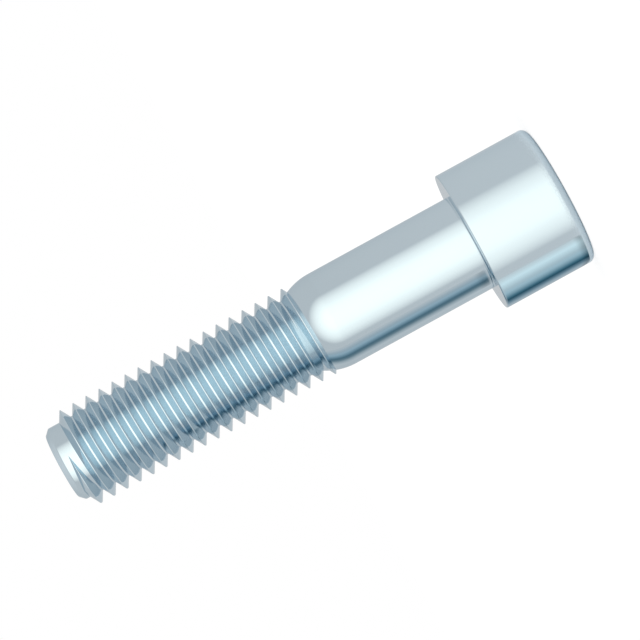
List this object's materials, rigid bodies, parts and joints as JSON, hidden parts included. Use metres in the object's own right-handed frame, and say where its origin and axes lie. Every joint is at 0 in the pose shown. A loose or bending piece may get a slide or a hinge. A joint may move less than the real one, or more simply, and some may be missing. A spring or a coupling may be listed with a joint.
{
  "type": "socket head cap screw",
  "caption": "Cap screw with a plain cylindrical head, hexagon socket, plain shank, rounded shoulder and a right-hand coarse thread that ends in a chamfered pilot.",
  "frame": {"origin": "centre of the head's socket face, which the screw stands on", "axes": "+Z runs along the screw's axis from the head to the tip; two corners of the hexagon socket lie on the X axis"},
  "size_m": [0.0178, 0.0178, 0.067],
  "materials": {
    "zinc_plated_steel": "smooth bright zinc plating with a clear bluish passivation"
  },
  "bodies": {
    "root": {"cap_screw": "zinc_plated_steel"}
  },
  "joints": []
}
